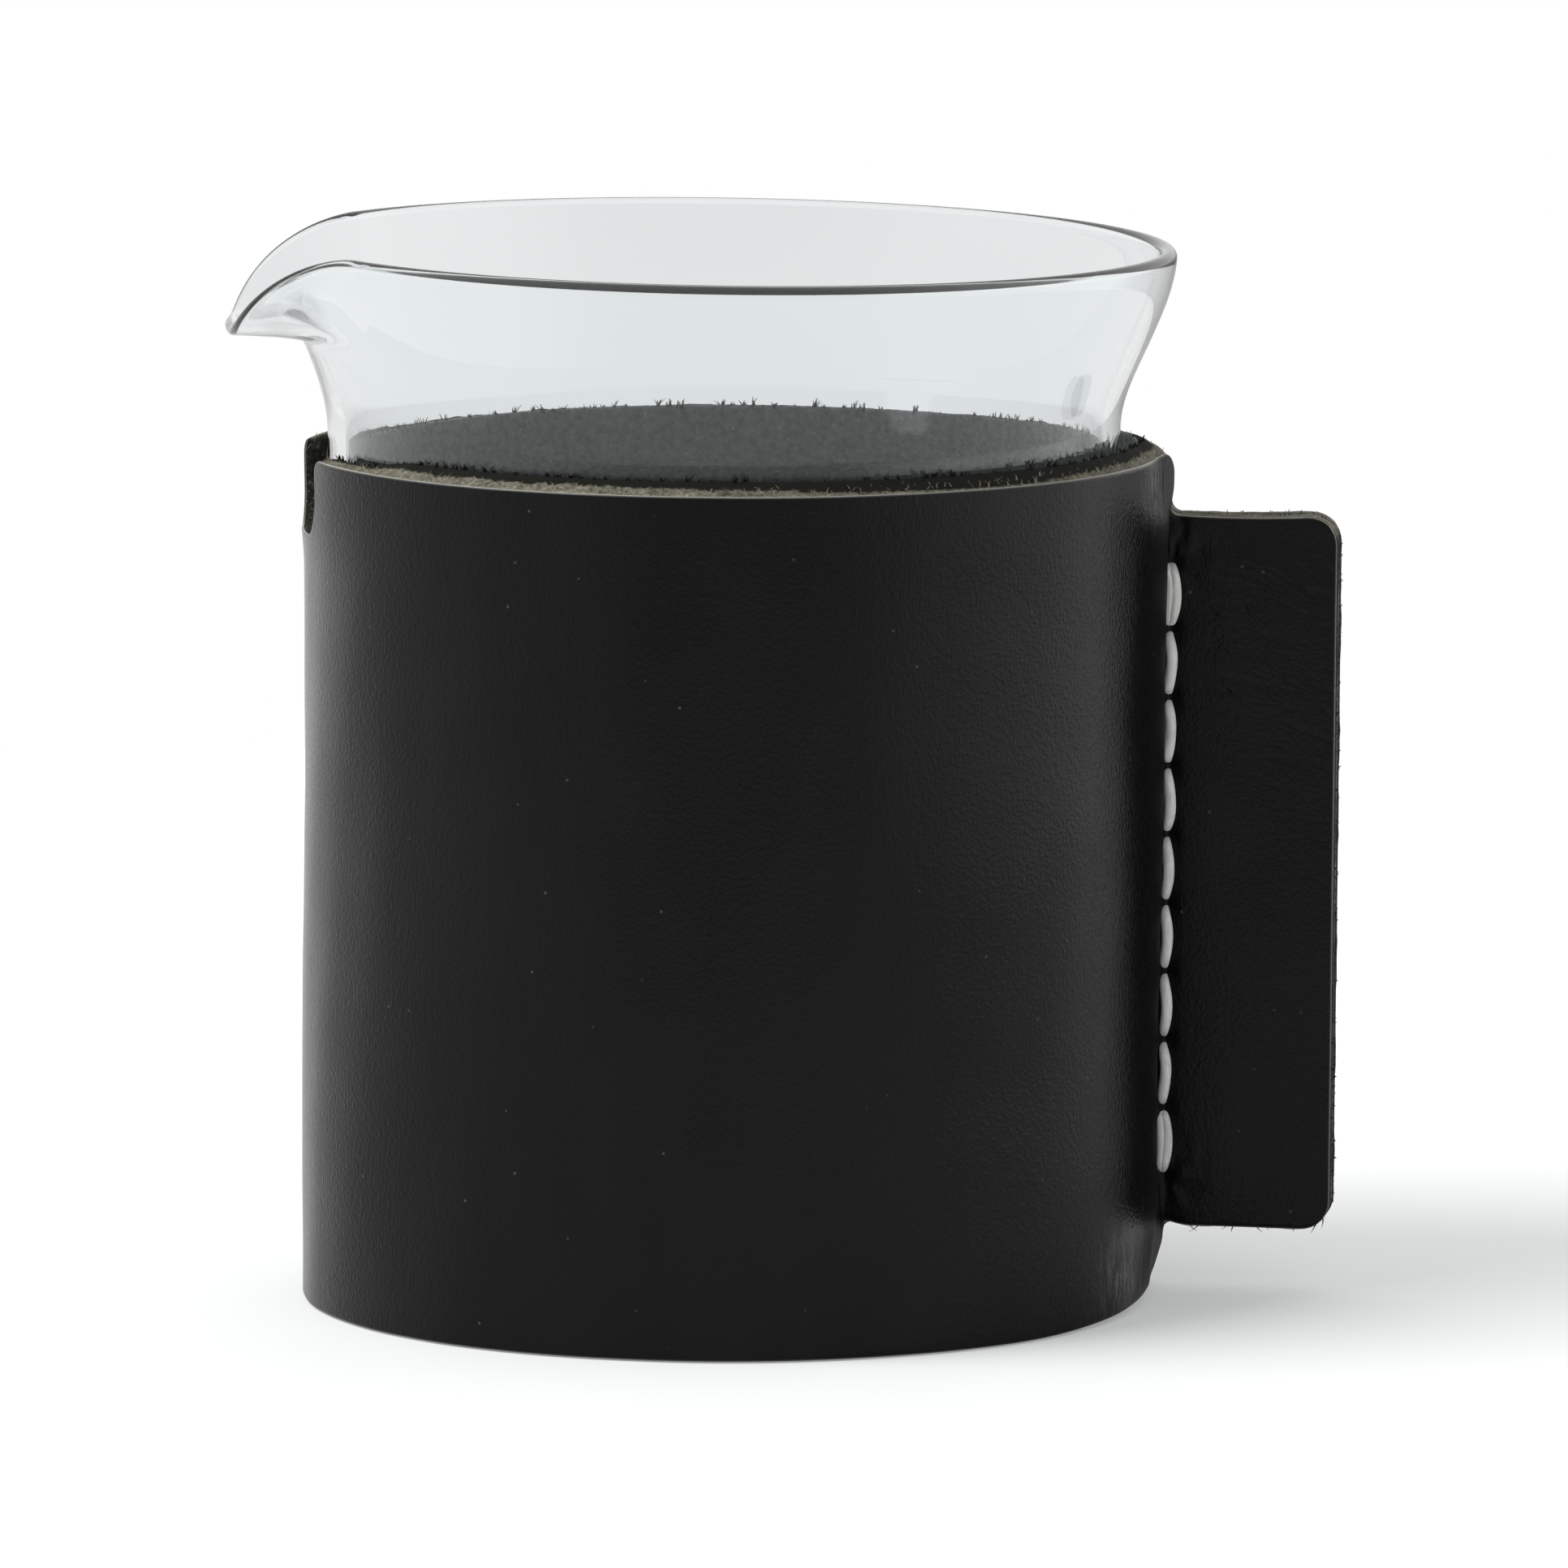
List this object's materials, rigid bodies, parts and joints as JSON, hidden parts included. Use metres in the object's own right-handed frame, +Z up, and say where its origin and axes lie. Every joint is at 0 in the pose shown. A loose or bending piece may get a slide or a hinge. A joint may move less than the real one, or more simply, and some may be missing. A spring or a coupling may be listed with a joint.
{
  "type": "glass serving jug in a leather sleeve",
  "caption": "Straight-sided glass jug with a flared rim and a pulled pouring spout, held in a wrapped leather sleeve whose sewn ends form a flat fin handle.",
  "frame": {"origin": "centre of the jug's flat glass bottom, on the table", "axes": "+Z up along the jug's axis, +X towards the handle, -X towards the spout, +Y to the handle's back leaf"},
  "size_m": [0.1129, 0.0912, 0.1076],
  "materials": {
    "glass": "clear polished",
    "leather": "smooth satin",
    "thread": "waxed thread"
  },
  "bodies": {
    "sleeve": {"leather_sleeve": "leather", "stitching_thread": "thread"},
    "jug": {"glass_jug": "glass"}
  },
  "joints": [
    {"name": "jug_lift", "type": "slide", "parent": "sleeve", "child": "jug", "axis": [0, 0, 1], "range_m": [0, 0.1]}
  ]
}
